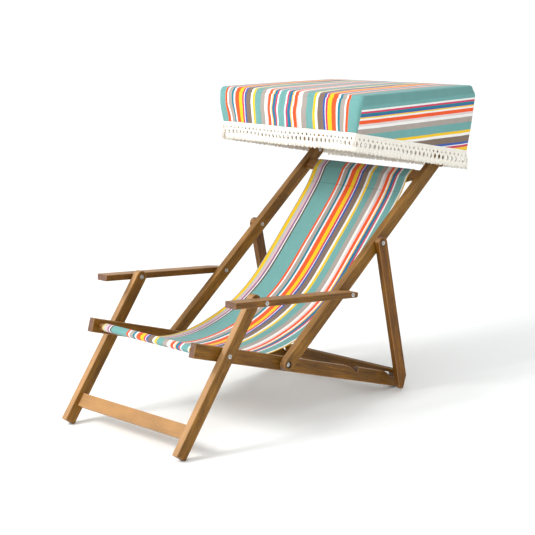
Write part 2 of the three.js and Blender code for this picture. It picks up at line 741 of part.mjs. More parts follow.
const canopyArms = () => {
  const topMiddle = lerpPoint(CANOPY_FRONT_TOP, CANOPY_REAR_TOP, CANOPY_ARM_REACH)
  const target = [topMiddle[0], topMiddle[1] - CANOPY_RAIL_BELOW_CLOTH - CANOPY_RAIL_DEPTH / 2 - CANOPY_CLOTH]
  const slope = slopeFrom(canopyPivot, target)
  const length = Math.hypot(target[0] - canopyPivot[0], target[1] - canopyPivot[1])
  const group = timberGroup(canopyPivot, slope)
  const half = CANOPY_ARM_HALF
  const arm = plate([
    ...arc(length, 0, half * 0.55, -90, 90, 8),
    ...arc(0, 0, half, 90, 270, 8)
  ], CANOPY_ARM_THICK, { holes: [[0, 0, BOLT_HOLE]] })
  addPair(group, 'canopy_arm', arm, ARM_INNER, CANOPY_ARM_THICK, () => wood(0x8f6638))
  addPivotBolts(group, 'canopy_pivot', [0, 0], ARM_INNER + CANOPY_ARM_THICK, UPRIGHT_INNER)
  return group
}

const canopy = () => {
  const group = new THREE.Group()
  group.add(mesh('canopy_cover', canopyCover(), canvas(0x8fb9b4)))
  group.add(canopyFringe(), canopyFrame(), canopyArms())
  return group
}

// ---- the whole chair, with its box centred on x = y = 0 and standing on z = 0 ----
const chair = new THREE.Group()
chair.name = 'deckchair'
chair.add(seatFrame(), legs(), backFrame(), arms(), ...armLegBolts(), propFrame(), sling(), canopy())
const box = new THREE.Box3().setFromObject(chair, true)
chair.position.y = -(box.min.y + box.max.y) / 2

export default chair
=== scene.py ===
import math
import random

import bpy
import numpy as np
from mathutils import Matrix, Vector, noise


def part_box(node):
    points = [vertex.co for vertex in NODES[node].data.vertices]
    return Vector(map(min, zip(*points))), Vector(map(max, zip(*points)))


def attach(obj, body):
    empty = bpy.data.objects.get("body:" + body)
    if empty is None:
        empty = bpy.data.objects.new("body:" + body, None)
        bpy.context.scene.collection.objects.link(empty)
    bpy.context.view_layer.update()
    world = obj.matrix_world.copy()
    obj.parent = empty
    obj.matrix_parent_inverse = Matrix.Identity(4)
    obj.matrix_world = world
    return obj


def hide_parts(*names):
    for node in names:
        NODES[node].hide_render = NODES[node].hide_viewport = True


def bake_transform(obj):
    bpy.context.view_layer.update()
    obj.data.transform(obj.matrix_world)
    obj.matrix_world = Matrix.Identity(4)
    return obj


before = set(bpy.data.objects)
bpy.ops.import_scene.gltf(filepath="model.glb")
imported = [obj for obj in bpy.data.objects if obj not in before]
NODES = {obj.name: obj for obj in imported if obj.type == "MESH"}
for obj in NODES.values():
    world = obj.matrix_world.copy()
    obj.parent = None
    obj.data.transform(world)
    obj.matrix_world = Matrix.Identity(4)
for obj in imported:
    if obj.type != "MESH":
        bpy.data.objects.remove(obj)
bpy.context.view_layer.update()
random.seed(11)


def middle(node):
    low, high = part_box(node)
    return (low + high) / 2


# The chair's own numbers are in millimetres in the side view, with y = 0 at the leg pivot.
LEG_PIVOT = middle("leg_pivot_bolt_left")
SHIFT = LEG_PIVOT.y * 1000
SEAT_SLOPE = -18.6
BACK_SLOPE = 37.2
LEG_SLOPE = 52.4
PROP_SLOPE = -81.4
ARM_SLOPE = -7.2


def metres(x, y, z):
    return Vector((x, y + SHIFT, z)) / 1000


def side(y, z):
    return np.array([y, z], float)


def lerp(a, b, t):
    return a + (b - a) * t


def smooth(t):
    t = min(max(t, 0.0), 1.0)
    return t * t * (3 - 2 * t)


# ---------------------------------------------------------------- camera
def make_camera():
    yaw, pitch, roll = (math.radians(a) for a in (48.02, 12.36, -2.81))
    back = Vector((math.sin(yaw) * math.cos(pitch), -math.cos(yaw) * math.cos(pitch), math.sin(pitch)))
    right = (-back).cross(Vector((0, 0, 1))).normalized()
    up = right.cross(-back)
    across = right * math.cos(roll) + up * math.sin(roll)
    upward = up * math.cos(roll) - right * math.sin(roll)
    camera = bpy.data.cameras.new("camera")
    camera.sensor_width = 36
    camera.lens = 107.12
    camera.clip_end = 100
    holder = bpy.data.objects.new("camera", camera)
    turn = Matrix((across, upward, back)).transposed().to_4x4()
    turn.translation = Vector((3.7948, LEG_PIVOT.y - 2.9833, LEG_PIVOT.z + 1.2756))
    holder.matrix_world = turn
    bpy.context.scene.collection.objects.link(holder)
    bpy.context.scene.camera = holder


make_camera()


# ---------------------------------------------------------------- materials
def colour(r, g, b):
    def linear(c):
        c /= 255
        return c / 12.92 if c <= 0.04045 else ((c + 0.055) / 1.055) ** 2.4
    return (linear(r), linear(g), linear(b), 1.0)


class Net:
    """A material, with short ways to add nodes to it."""

    def __init__(self, name, **shader):
        self.material = bpy.data.materials.new(name)
        self.material.use_nodes = True
        self.nodes = self.material.node_tree.nodes
        self.links = self.material.node_tree.links
        self.shader = self.nodes["Principled BSDF"]
        self.fill(self.shader, {k.replace("_", " "): v for k, v in shader.items()})

    def fill(self, node, inputs):
        for key, value in inputs.items():
            if isinstance(value, bpy.types.NodeSocket):
                self.links.new(value, node.inputs[key])
            else:
                node.inputs[key].default_value = value

    def add(self, kind, inputs=None, **settings):
        node = self.nodes.new("ShaderNode" + kind)
        for key, value in settings.items():
            setattr(node, key, value)
        self.fill(node, inputs or {})
        return node

    def math(self, operation, a, b=0.0):
        return self.add("Math", {0: a, 1: b}, operation=operation).outputs[0]

    def times(self, a, b):
        return self.math("MULTIPLY", a, b)

    def spread(self, value, low, high, to_low=0.0, to_high=1.0):
        return self.add("MapRange", {0: value, 1: low, 2: high, 3: to_low, 4: to_high}).outputs[0]

    def noise(self, vector, scale, detail=4.0, roughness=0.55, distortion=0.0):
        return self.add("TexNoise", {
            "Vector": vector, "Scale": scale, "Detail": detail,
            "Roughness": roughness, "Distortion": distortion}).outputs["Fac"]

    def mix(self, factor, a, b, blend="MIX"):
        node = self.add("Mix", {0: factor, 6: a, 7: b}, data_type="RGBA", blend_type=blend)
        return node.outputs[2]

    def ramp(self, factor, stops, interpolation="LINEAR"):
        node = self.add("ValToRGB", {"Fac": factor})
        ramp = node.color_ramp
        ramp.interpolation = interpolation
        while len(ramp.elements) > 1:
            ramp.elements.remove(ramp.elements[-1])
        ramp.elements[0].position = stops[0][0]
        ramp.elements[0].color = stops[0][1]
        for position, shade in stops[1:]:
            ramp.elements.new(position).color = shade
        return node.outputs["Color"]

    def bump(self, height, strength, distance, under=None):
        inputs = {"Height": height, "Strength": strength, "Distance": distance}
        if under is not None:
            inputs["Normal"] = under
        return self.add("Bump", inputs).outputs["Normal"]

    def scaled(self, vector, factors):
        return self.add("VectorMath", {0: vector, 1: factors}, operation="MULTIPLY").outputs[0]

    def shaded(self, base, value):
        """The colour base, made darker or lighter by a number that varies over the surface."""
        grey = self.add("CombineXYZ", {0: value, 1: value, 2: value}).outputs[0]
        return self.mix(1.0, base, grey, "MULTIPLY")

    def finish(self, base, roughness, normal):
        """Wires the shader and gives the finished material."""
        self.links.new(base, self.shader.inputs["Base Color"])
        self.links.new(roughness, self.shader.inputs["Roughness"])
        self.links.new(normal, self.shader.inputs["Normal"])
        return self.material


OIL = (0.62, 0.585, 0.27)
FOOT_DARKENING_TOP = 0.013
BORE_SHADOW = 0.0012


def grain(net, along, fibre):
    """The bare wood's colour, and how much of a pore's streak there is at each place."""
    figure = net.noise(net.scaled(along, (1, 0.09, 1)), 42, 4, 0.55, 1.6)
    base = net.ramp(net.math("ADD", net.times(fibre, 0.55), net.times(figure, 0.45)), [
        (0.30, colour(92, 58, 24)),
        (0.44, colour(134, 90, 42)),
        (0.54, colour(160, 111, 56)),
        (0.66, colour(186, 137, 78))])
    pores = net.noise(net.scaled(along, (1, 0.035, 1)), 1100, 3, 0.5)
    streak = net.spread(pores, 0.60, 0.70)
    base = net.mix(net.times(streak, 0.55), base, colour(66, 40, 16))
    fleck = net.spread(net.noise(net.scaled(along, (1, 0.16, 1)), 420, 3, 0.6), 0.52, 0.68)
    return net.mix(net.times(fleck, 0.38), base, colour(84, 56, 26)), streak


def top_highlight_and_mottle(net, base, along, up, fibre, top_highlight):
    """Lightens the upper face with a painted highlight, as strongly as the last argument says, and clouds
    the whole timber with random mottle.
    """
    # Painted highlight: the upper face is mixed towards a pale colour, for the light falling on it.
    upper = net.times(net.spread(up, 0.75, 0.95), top_highlight)
    highlight_colour = net.mix(net.times(fibre, 0.5), colour(214, 168, 120), colour(160, 116, 72))
    base = net.mix(upper, base, highlight_colour)
    patch = net.noise(net.scaled(along, (1, 0.45, 1)), 17, 5, 0.6)
    return net.shaded(base, net.spread(patch, 0.3, 0.7, 0.70, 1.24))


def ends_and_edges(net, base, along, facing):
    """End grain on the faces across the timber's length, and lighter edges between its faces: partly rubbed
    wear, partly a painted highlight where light catches the rounded edges.
    """
    nx, ny, nz = (net.math("ABSOLUTE", part) for part in facing)
    rings = net.noise(net.scaled(along, (1, 0.2, 1)), 320, 5, 0.6, 0.6)
    end_grain = net.ramp(rings, [(0.35, colour(78, 54, 44)), (0.62, colour(132, 102, 88))])
    base = net.mix(net.times(net.spread(ny, 0.86, 0.97), 0.85), base, end_grain)
    flat = net.math("MAXIMUM", net.math("MAXIMUM", nx, ny), nz)
    # Lighter edges: partly rubbed wear, partly painted highlight.
    return net.mix(net.times(net.spread(flat, 0.97, 0.80), 0.34), base, colour(196, 150, 104))


# Painted shade: inside the hole the wood is mixed towards near black.
def dark_bore(net, base, spot, bore):
    off_y = net.math("SUBTRACT", spot[1], bore[0])
    off_z = net.math("SUBTRACT", spot[2], bore[1])
    away = net.math("SQRT", net.math("ADD", net.times(off_y, off_y), net.times(off_z, off_z)))
    inside = net.spread(away, bore[2] + BORE_SHADOW, bore[2])
    return net.mix(net.times(inside, 0.85), base, colour(34, 22, 12))


def wood(name, turn, tone, seed, pale, top_highlight, bore=None):
    """Oiled hardwood. turn is the rotation that lays the timber's length along y.
    The argument after pale says how strongly its upper face is lightened with a painted highlight, and bore
    is the y, z and radius of a hole in its face whose inside is darkened with painted shade. Wood is made
    darker within 13 mm of the floor."""
    net = Net(name, IOR=1.48, Specular_IOR_Level=0.28)
    place = net.add("TexCoord")
    mapping = {"Location": (seed * 0.37, seed * 0.91, seed * 0.53), "Rotation": turn}
    along = net.add("Mapping", {"Vector": place.outputs["Object"], **mapping}).outputs[0]
    facing = net.add("Mapping", {"Vector": place.outputs["Normal"], "Rotation": turn},
                     vector_type="VECTOR").outputs[0]
    facing = net.add("SeparateXYZ", {0: facing}).outputs
    fibre = net.noise(net.scaled(along, (1, 0.05, 1)), 260, 7, 0.66, 0.35)
    base, streak = grain(net, along, fibre)
    base = net.mix(pale, base, colour(226, 176, 112))
    base = net.mix(1.0, base, (*(t * o for t, o in zip(tone, OIL)), 1), "MULTIPLY")
    base = top_highlight_and_mottle(net, base, along, facing[2], fibre, top_highlight)
    base = ends_and_edges(net, base, along, facing)
    spot = net.add("SeparateXYZ", {0: place.outputs["Object"]}).outputs
    # Darker towards the floor: within 13 mm of it the wood is mixed towards a dark brown.
    foot_darkening = net.spread(spot[2], FOOT_DARKENING_TOP, 0.004)
    base = net.mix(net.times(foot_darkening, 0.6), base, colour(84, 54, 34))
    if bore is not None:
        base = dark_bore(net, base, spot, bore)
    height = net.math("SUBTRACT", fibre, net.times(streak, 0.8))
    return net.finish(base, net.spread(fibre, 0.3, 0.7, 0.36, 0.56), net.bump(height, 0.35, 0.0006))


def zinc(name, seed):
    """Bright zinc-plated steel with a slightly clouded skin."""
    net = Net(name, Metallic=1.0)
    spot = net.add("Mapping", {"Vector": net.add("TexCoord").outputs["Object"],
                               "Location": (seed, seed * 0.7, seed * 0.3)}).outputs[0]
    cloud = net.noise(spot, 240, 4, 0.6)
    tarnish = net.noise(spot, 900, 3, 0.6)
    base = net.ramp(cloud, [(0.35, colour(196, 200, 202)), (0.6, colour(238, 241, 242))])
    return net.finish(base, net.spread(tarnish, 0.3, 0.7, 0.22, 0.42), net.bump(tarnish, 0.2, 0.0002))


TEAL = (115, 173, 170)
WHITE = (250, 249, 246)
MAGENTA = (214, 56, 98)
PETROL = (14, 128, 150)
BLUE = (56, 92, 176)
YELLOW = (252, 205, 24)
ORANGE = (250, 90, 32)
BLUSH = (232, 216, 214)
TAUPE = (176, 166, 158)
BROWN = (131, 112, 98)
DARK = (92, 78, 66)
MAUVE = (160, 112, 150)
PINK = (226, 192, 198)
MIST = (188, 202, 196)
# The printed stripes and their widths in millimetres, from the middle of the narrow teal outwards.
STRIPES = [
    (TEAL, 14), (WHITE, 7.5), (MAGENTA, 6), (PETROL, 8), (BLUE, 5.5), (YELLOW, 5), (WHITE, 5.5),
    (ORANGE, 14), (BLUSH, 8), (WHITE, 10), (TAUPE, 20.5), (TEAL, 29), (YELLOW, 11), (WHITE, 9),
    (BROWN, 23), (BLUE, 8.5),
    (WHITE, 4), (MAGENTA, 8.5), (YELLOW, 15.5), (ORANGE, 20.5), (WHITE, 8.5), (PETROL, 10),
    (TAUPE, 15.5), (WHITE, 7.5), (ORANGE, 10), (TEAL, 78), (DARK, 7), (WHITE, 5), (MAUVE, 7.5), (PINK, 12.5),
    (MIST, 8), (YELLOW, 22)]
# Places inside the first yellow and the first taupe stripe, for the sling's two woven edges.
NEAR_SELVEDGE = (0.0412, 0.0455)
FAR_SELVEDGE = (0.0860, 0.1020)
CLOTH_DEPTH_OF_SHADE = 0.84
PATTERN = sum(width for _, width in STRIPES) / 1000
THREAD = 0.0013
STITCH = 0.0038


def stripes(net, across):
    stops, at = [], 0.0
    for shade, width in STRIPES:
        stops.append((at / 1000 / PATTERN, colour(*shade)))
        at += width
    return net.ramp(net.math("DIVIDE", across, PATTERN), stops, "CONSTANT")


def wave(net, value, length):
    return net.math("SINE", net.times(value, 2 * math.pi / length))


def striped_cloth(name, seams=()):
    """Woven striped canvas. The mesh's UV map holds metres across and along the stripes.
    seams are the places along it where a line of stitches crosses it."""
    net = Net(name, Sheen_Weight=0.18, Sheen_Roughness=0.5, Specular_IOR_Level=0.25)
    uv = net.add("UVMap", uv_map="cloth").outputs[0]
    parts = net.add("SeparateXYZ", {0: uv})
    across, along = parts.outputs[0], parts.outputs[1]
    ragged = net.noise(net.scaled(uv, (900, 260, 1)), 1.0, 2)
    base = stripes(net, net.math("ADD", across, net.spread(ragged, 0.3, 0.7, -0.0004, 0.0004)))
    warp = net.noise(net.scaled(uv, (1300, 22, 1)), 1.0, 4, 0.6)
    slub = net.noise(net.scaled(uv, (60, 900, 1)), 1.0, 3, 0.6)
    wash = net.noise(uv, 14, 4, 0.6)
    value = net.times(net.spread(warp, 0.25, 0.75, 0.90, 1.07), net.spread(slub, 0.25, 0.75, 0.96, 1.04))
    value = net.times(value, net.spread(wash, 0.3, 0.7, 0.95, 1.03))
    value = net.times(value, CLOTH_DEPTH_OF_SHADE)
    # Painted shade: a darker streak along the middle of the narrow teal stripe, for a soft fold there.
    value = net.times(value, net.spread(across, 0.0010, 0.0035, 0.86, 1.0))
    over_under = net.times(wave(net, across, THREAD), wave(net, along, THREAD))
    weave = net.math("ADD", net.times(over_under, 0.5), net.times(warp, 0.8))
    relief = net.bump(weave, 0.25, 0.00025)
    pucker = None
    for seam in seams:
        away = net.math("ABSOLUTE", net.math("SUBTRACT", along, seam))
        line = net.spread(away, 0.0026, 0.0012)
        stitch = net.spread(wave(net, across, STITCH), -0.3, 0.3)
        value = net.times(value, net.spread(net.times(line, stitch), 0, 1, 1.0, 0.62))
        groove = net.times(net.spread(away, 0.006, 0.0), -1.0)
        pucker = groove if pucker is None else net.math("ADD", pucker, groove)
    if pucker is not None:
        relief = net.bump(pucker, 0.6, 0.0012, relief)
    roughness = net.spread(warp, 0.3, 0.7, 0.78, 0.92)
    return net.finish(net.shaded(base, value), roughness, net.bump(wash, 0.3, 0.0012, relief))


def cotton(name):
    """Off-white crocheted cotton yarn."""
    net = Net(name, Sheen_Weight=0.3, Sheen_Roughness=0.6, Specular_IOR_Level=0.2)
    place = net.add("TexCoord").outputs["Object"]
    yarn = net.noise(net.scaled(place, (1, 1, 0.35)), 1500, 3, 0.6)
    soft = net.noise(place, 90, 4, 0.6)
    base = net.ramp(yarn, [(0.3, colour(214, 206, 190)), (0.62, colour(246, 243, 236))])
    base = net.mix(net.spread(soft, 0.35, 0.75, 0.0, 0.25), base, colour(226, 216, 196))
    return net.finish(base, net.spread(soft, 0.3, 0.7, 0.82, 0.95), net.bump(yarn, 0.5, 0.0007))


# ---------------------------------------------------------------- carried-over timber and hardware
ALONG_X = (0, 0, math.radians(90))


def sloping(degrees):
    return (-math.radians(degrees), 0, 0)


# How each timber is turned, how the oil is toned on it, and how pale it is left.
TIMBERS = {
    "seat_rail": (sloping(SEAT_SLOPE), (0.90, 0.89, 0.64), 0),
    "back_rail": (sloping(BACK_SLOPE), (1.03, 1.08, 0.95), 0),
    "leg": (sloping(LEG_SLOPE), (1.06, 1.10, 1.05), 0),
    "arm": (sloping(ARM_SLOPE), (0.88, 0.86, 0.72), 0),
    "prop": (sloping(PROP_SLOPE), (0.85, 0.75, 0.36), 0),
    "canopy_arm": (sloping(80), (0.98, 0.98, 0.98), 0),
    "canopy_side_rail": (sloping(-2.8), (0.98, 0.98, 0.98), 0),
    "front_sling_bar": (ALONG_X, (1, 1, 1), 0),
    "top_sling_bar": (ALONG_X, (0.95, 0.95, 0.95), 0),
    "leg_stretcher": (ALONG_X, (1.07, 1.07, 1.9), 0.45),
    "prop_cross_board": (ALONG_X, (0.82, 0.83, 0.78), 0),
    "canopy_front_rail": (ALONG_X, (0.98, 0.98, 0.98), 0),
    "canopy_rear_rail": (ALONG_X, (0.98, 0.98, 0.98), 0),
}
# How strongly each timber's upper face gets the painted highlight.
TOP_HIGHLIGHT = {"leg": 0.62, "arm": 0.4, "seat_rail": 0.3, "back_rail": 0.16}
TOP_HIGHLIGHT_ELSEWHERE = 0.1
HINGE = middle("back_hinge_bolt_left")
HINGE_BORE = (HINGE.y, HINGE.z, 0.0101)
METAL_WORDS = ("bolt", "nut", "washer", "stub", "rod")


def put(node, material):
    node.data.materials.clear()
    node.data.materials.append(material)


def bevel(node, width, angle):
    rounding = node.modifiers.new("rounding", "BEVEL")
    rounding.width = width
    rounding.segments = 2
    rounding.limit_method = "ANGLE"
    rounding.angle_limit = math.radians(angle)


def shade_faces(data, smoothly):
    for polygon in data.polygons:
        polygon.use_smooth = smoothly


def dress_metal(node, material):
    put(node, material)
    shade_faces(node.data, True)
    bevel(node, 0.0005, 40)
    smoothing = node.modifiers.new("smoothing", "SUBSURF")
    smoothing.levels = smoothing.render_levels = 1


def dress_timber(node, material):
    put(node, material)
    shade_faces(node.data, False)
    bevel(node, 0.0006, 25)


def dress_cad_nodes():
    """Gives every rigid node its material and softened edges. The cloth nodes are replaced."""
    for number, (name, node) in enumerate(sorted(NODES.items())):
        stem = name.removesuffix("_left").removesuffix("_right")
        if any(word in name for word in METAL_WORDS):
            dress_metal(node, zinc(f"zinc_{name}", number * 1.7))
        elif stem in TIMBERS:
            turn, tone, pale = TIMBERS[stem]
            top_highlight = TOP_HIGHLIGHT.get(stem, TOP_HIGHLIGHT_ELSEWHERE)
            bore = HINGE_BORE if stem == "back_rail" else None
            dress_timber(node, wood(f"wood_{name}", turn, tone, number * 0.83, pale, top_highlight, bore))


dress_cad_nodes()


# ---------------------------------------------------------------- mesh helpers
def new_piece(name, points, faces, material, uvs=None):
    data = bpy.data.meshes.new(name)
    data.from_pydata([tuple(p) for p in points], [], faces)
    if uvs is not None:
        layer = data.uv_layers.new(name="cloth")
        layer.data.foreach_set("uv", np.array(uvs, np.float32).ravel())
    data.materials.append(material)
    shade_faces(data, True)
    data.update()
    piece = bpy.data.objects.new(name, data)
    bpy.context.scene.collection.objects.link(piece)
    return piece


def bake_modifiers(piece):
    """Keeps the shape that the piece's modifiers give and removes them."""
    bpy.context.view_layer.update()
    seen = piece.evaluated_get(bpy.context.evaluated_depsgraph_get())
    data = bpy.data.meshes.new_from_object(seen)
    piece.modifiers.clear()
    piece.data = data
    data.name = piece.name


def thicken(piece, thickness):
    solid = piece.modifiers.new("thickness", "SOLIDIFY")
    solid.thickness = thickness
    solid.offset = 0
    solid.use_even_offset = False
    bake_modifiers(piece)


def grid_faces(rows, columns, closed=False):
    """Quads between rows of points; closed also joins each row's last point to its first."""
    faces = []
    last = columns if closed else columns - 1
    for r in range(rows - 1):
        for c in range(last):
            d = (c + 1) % columns
            faces.append((r * columns + c, r * columns + d, (r + 1) * columns + d, (r + 1) * columns + c))
    return faces


def tube_faces(rings, sides):
    """Faces of a closed tube: its wall and its two ends."""
    first_end = tuple(range(sides - 1, -1, -1))
    last_end = tuple((rings - 1) * sides + k for k in range(sides))
    return grid_faces(rings, sides, closed=True) + [first_end, last_end]


def tube(points, radii, sides, flatten, across):
    """Vertices and faces of a closed tube along points; `across` is the direction it is flattened in."""
    vertices = []
    count = len(points)
    for i, p in enumerate(points):
        ahead = points[min(i + 1, count - 1)] - points[max(i - 1, 0)]
        ahead.normalize()
        wide = ahead.cross(across).normalized()
        for k in range(sides):
            a = 2 * math.pi * k / sides
            vertices.append(p + wide * math.cos(a) * radii[i] + across * math.sin(a) * radii[i] * flatten)
    return vertices, tube_faces(count, sides)


class Pile:
    """Collects many small shapes into one mesh."""

    def __init__(self):
        self.vertices, self.faces = [], []

    def add(self, vertices, faces):
        start = len(self.vertices)
        self.vertices += [tuple(v) for v in vertices]
        self.faces += [tuple(i + start for i in face) for face in faces]


# ---------------------------------------------------------------- sling
CLOTH = 1.4
BAR_GAP = 0.45
FRONT_BAR = {"half": 0.5, "radius": 10.5, "wrapped": (292, 58)}
TOP_BAR = {"half": 13.5, "radius": 9, "wrapped": (144, -92)}
NOSE = 3.2
NOSE_FACES = 170
NOSE_SPREAD = 24
SLING_HALF_TOP = 225.5
SLING_HALF_FRONT = 220
FAR_SIDE_NARROWER = 5.0
SLING_CENTRE = 201
SLING_CENTRE_FRONT = 196
SLING_COLUMNS = 76
SLING_EDGE = 3.5
HEM_LAP = 0.5
HEM_FROM_FRONT = 40
HEM_FROM_TOP = 58


def slope_vector(degrees):
    return side(math.cos(math.radians(degrees)), math.sin(math.radians(degrees)))


def around_bar(centre, long_way, bar, nose=0.0, steps=30):
    """Points round a round-edged bar, by the direction the cloth faces, in degrees.
    nose is how far the cloth stands off where it faces the front."""
    wrap = bar["radius"] + BAR_GAP + CLOTH / 2
    points = []
    for i in range(steps + 1):
        angle = lerp(*bar["wrapped"], i / steps)
        end = 1 if math.cos(math.radians(angle - long_way)) > 0 else -1
        stand = wrap + nose * math.exp(-((angle - NOSE_FACES) / NOSE_SPREAD) ** 2)
        points.append(centre + slope_vector(long_way) * bar["half"] * end + slope_vector(angle) * stand)
    return points


def through(points, step=4.0):
    """An evenly spaced smooth run through the points (centripetal Catmull-Rom)."""
    points = [np.array(p, float) for p in points]
    points = [2 * points[0] - points[1], *points, 2 * points[-1] - points[-2]]
    dense = []
    for a, b, c, d in zip(points, points[1:], points[2:], points[3:]):
        t0 = 0.0
        t1 = t0 + np.linalg.norm(b - a) ** 0.5
        t2 = t1 + np.linalg.norm(c - b) ** 0.5
        t3 = t2 + np.linalg.norm(d - c) ** 0.5
        for t in np.linspace(t1, t2, 24, endpoint=False):
            ab = (t1 - t) / (t1 - t0) * a + (t - t0) / (t1 - t0) * b
            bc = (t2 - t) / (t2 - t1) * b + (t - t1) / (t2 - t1) * c
            cd = (t3 - t) / (t3 - t2) * c + (t - t2) / (t3 - t2) * d
            left = (t2 - t) / (t2 - t0) * ab + (t - t0) / (t2 - t0) * bc
            right = (t3 - t) / (t3 - t1) * bc + (t - t1) / (t3 - t1) * cd
            dense.append((t2 - t) / (t2 - t1) * left + (t - t1) / (t2 - t1) * right)
    dense.append(points[-2])
    return resample(dense, step)


def resample(points, step):
    points = np.array(points, float)
    lengths = np.concatenate([[0], np.cumsum(np.linalg.norm(np.diff(points, axis=0), axis=1))])
    count = max(2, int(round(lengths[-1] / step)) + 1)
    at = np.linspace(0, lengths[-1], count)
    return np.stack([np.interp(at, lengths, points[:, k]) for k in range(2)], 1)


def bar_centre(node):
    centre = middle(node) * 1000
    return side(centre.y - SHIFT, centre.z)


def under(point, ahead):
    """The hem's layer: the place just under a point of the cloth that runs the way `ahead`."""
    away = side(ahead[1], -ahead[0])
    return point + away / np.linalg.norm(away) * (CLOTH + HEM_LAP)


def sling_path():
    """The cloth's side view from its lower hem, round the front bar, along the seat and back,
    and over the top bar to its upper hem, with the two indices where its free run begins and ends."""
    wrap_front = around_bar(bar_centre("front_sling_bar"), SEAT_SLOPE + 90, FRONT_BAR, NOSE)
    wrap_top = around_bar(bar_centre("top_sling_bar"), BACK_SLOPE, TOP_BAR)
    free = through([
        wrap_front[-1], (-20, 289), (50, 254), (120, 233), (190, 225), (262, 229), (327, 241),
        (432, 276), (547, 342), (700, 488), (838, 636), wrap_top[0]])
    lower_hem = under(free[12], free[12] - free[11])
    upper_hem = under(free[-6], free[-5] - free[-6])
    start = resample([lower_hem, lerp(lower_hem, wrap_front[0], 0.5) - (0, 1.5), wrap_front[0]], 4.0)
    front = resample(wrap_front, 2.2)
    finish = resample([wrap_top[-1], upper_hem], 4.0)
    path = np.concatenate([start[:-1], front[:-1], free[:-1], resample(wrap_top, 2.6)[:-1], finish])
    begins = len(start) + len(front) - 2
    return path, begins, begins + len(free) - 1


def sling_ripple(x, u, s, run_start, run_end):
    """How far the cloth lifts off its run, and how far its edge wanders, at x across and s along."""
    share = (s - run_start) / (run_end - run_start)
    held = min(share, 1 - share)
    free = smooth(held * 9)
    folds = noise.noise(Vector((x * 0.016, s * 0.0035, 1.3))) * 3.2
    ripples = noise.noise(Vector((x * 0.05, s * 0.006, 7.9))) * 0.9
    tension = math.sin(x * 0.11 + 1.1) * 0.7 * math.exp(-abs(s - run_end) / 60)
    tension += math.sin(x * 0.09) * 0.8 * math.exp(-abs(s - run_start) / 50)
    slack = noise.noise(Vector((u * 1.7, s * 0.011, 3.1))) * 1.2 * free
    return free * (folds + ripples) + tension * smooth(held * 60), slack * smooth((abs(u) - 0.5) / 0.5)


def sling_surface(path, along, run_start, run_end):
    """The cloth's points, row by row, and where across the printed pattern each one lies."""
    ahead = np.gradient(path, axis=0)
    ahead /= np.linalg.norm(ahead, axis=1)[:, None]
    normal = np.stack([-ahead[:, 1], ahead[:, 0]], 1)
    points, across_at = [], []
    for here, out, s in zip(path, normal, along):
        share = (s - run_start) / (run_end - run_start)
        half = lerp(SLING_HALF_FRONT, SLING_HALF_TOP, smooth((share - 0.05) / 0.4))
        far = FAR_SIDE_NARROWER - half
        centre = lerp(SLING_CENTRE_FRONT, SLING_CENTRE, smooth(share * 1.6))
        for c in range(SLING_COLUMNS + 1):
            inner = lerp(far + SLING_EDGE, half - SLING_EDGE, (c - 1) / (SLING_COLUMNS - 2))
            x = {0: far, SLING_COLUMNS: half}.get(c, inner)
            lift, wander = sling_ripple(x, x / half, s, run_start, run_end)
            points.append(metres(x + wander, *(here + out * lift)))
            across_at.append(abs(centre - x) / 1000)
    return points, across_at


def sling_uvs(faces, across_at, along):
    """Places on the printed pattern, with a woven selvedge in the first and last column."""
    uvs = []
    width = SLING_COLUMNS + 1
    for face in faces:
        columns = [i % width for i in face]
        for i, column in zip(face, columns):
            across = across_at[i]
            if max(columns) == SLING_COLUMNS:
                across = NEAR_SELVEDGE[column == SLING_COLUMNS]
            elif min(columns) == 0:
                across = FAR_SELVEDGE[column == 0]
            uvs.append((across, along[i // width] / 1000))
    return uvs


def make_sling():
    """The sling, and its length along the cloth in metres."""
    path, begins, ends = sling_path()
    steps = np.linalg.norm(np.diff(path, axis=0), axis=1)
    along = np.concatenate([[0], np.cumsum(steps)])
    points, across_at = sling_surface(path, along, along[begins], along[ends])
    faces = grid_faces(len(path), SLING_COLUMNS + 1)
    seams = ((along[begins] + HEM_FROM_FRONT) / 1000, (along[ends] - HEM_FROM_TOP) / 1000)
    piece = new_piece("sling_canvas", points, faces, striped_cloth("sling_canvas", seams),
                      sling_uvs(faces, across_at, along))
    thicken(piece, CLOTH / 1000)
    return piece, along[-1] / 1000


sling, sling_length = make_sling()


# ---------------------------------------------------------------- canopy cover
HALF_TOP, HALF_BOTTOM = 338.0, 322.0
FRONT_TOP, REAR_TOP = side(557, 1001), side(1090, 975)
FRONT_BOTTOM, REAR_BOTTOM = side(541, 885), side(1050, 764)
CORNER = 12.0
ROLL = 11.5
ROLL_RINGS = 6
SKIRT_STEPS = 26
COVER_CLOTH = 1.3
NX, NY = 116, 92
TOP_CROWN = 5.0
TWIST = 3.0
NEAR_STRETCH = 0.92
SIDE_SCALE = 1.14
SIDE_FROM_TOP_FRONT, SIDE_FROM_TOP_REAR = 36.3, 29.0
PLEAT = -283.0
PATTERN_CENTRE = -18.0
PATTERN_END = 361.0
REAR_PUFF = 15.0
SIDE_STRIPES_REACH = 262.5
NEARLY_ONE = 1 - 1e-9


